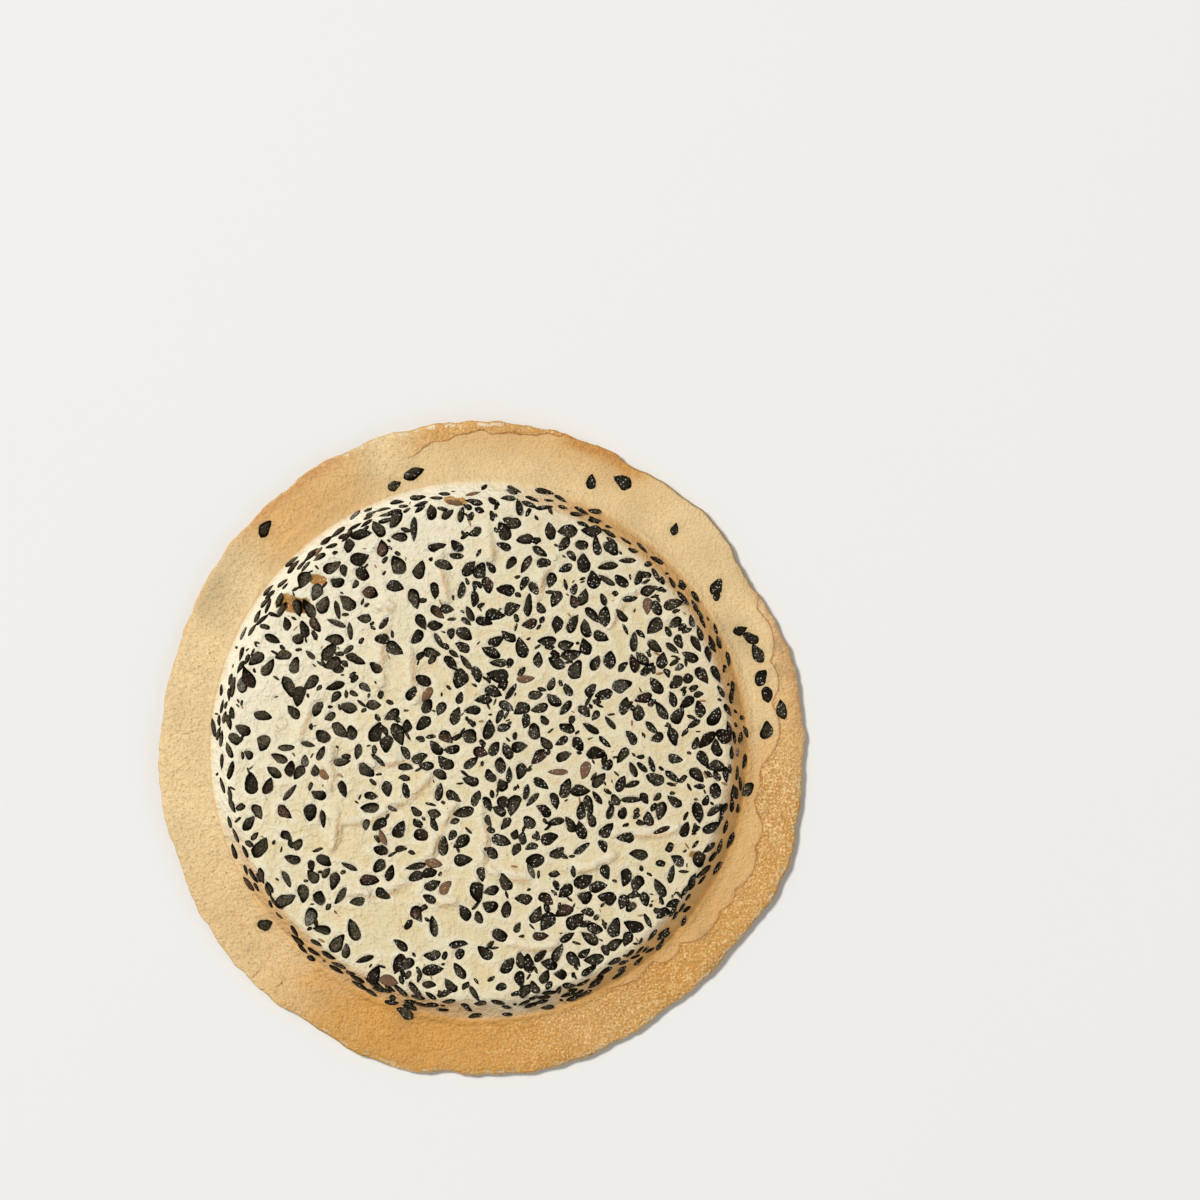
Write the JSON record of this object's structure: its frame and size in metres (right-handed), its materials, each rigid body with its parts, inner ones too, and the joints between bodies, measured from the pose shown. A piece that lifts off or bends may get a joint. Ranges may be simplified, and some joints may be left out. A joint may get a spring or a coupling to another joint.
{
  "type": "rice cracker",
  "caption": "Round iron-moulded cracker with a raised face crowded with black sesame, a thin baked rim and a flat back.",
  "frame": {"origin": "centre of the flat back face", "axes": "+Z out of the raised, seeded face; +X and +Y in the plane of the rim, +Y towards the top of the view from above"},
  "size_m": [0.1044, 0.1059, 0.0072],
  "materials": {
    "crust": "matt, dry baked dough, cream on the raised face and golden on the rim, with glossy black sesame"
  },
  "bodies": {
    "root": {"cracker": "crust"}
  },
  "joints": []
}
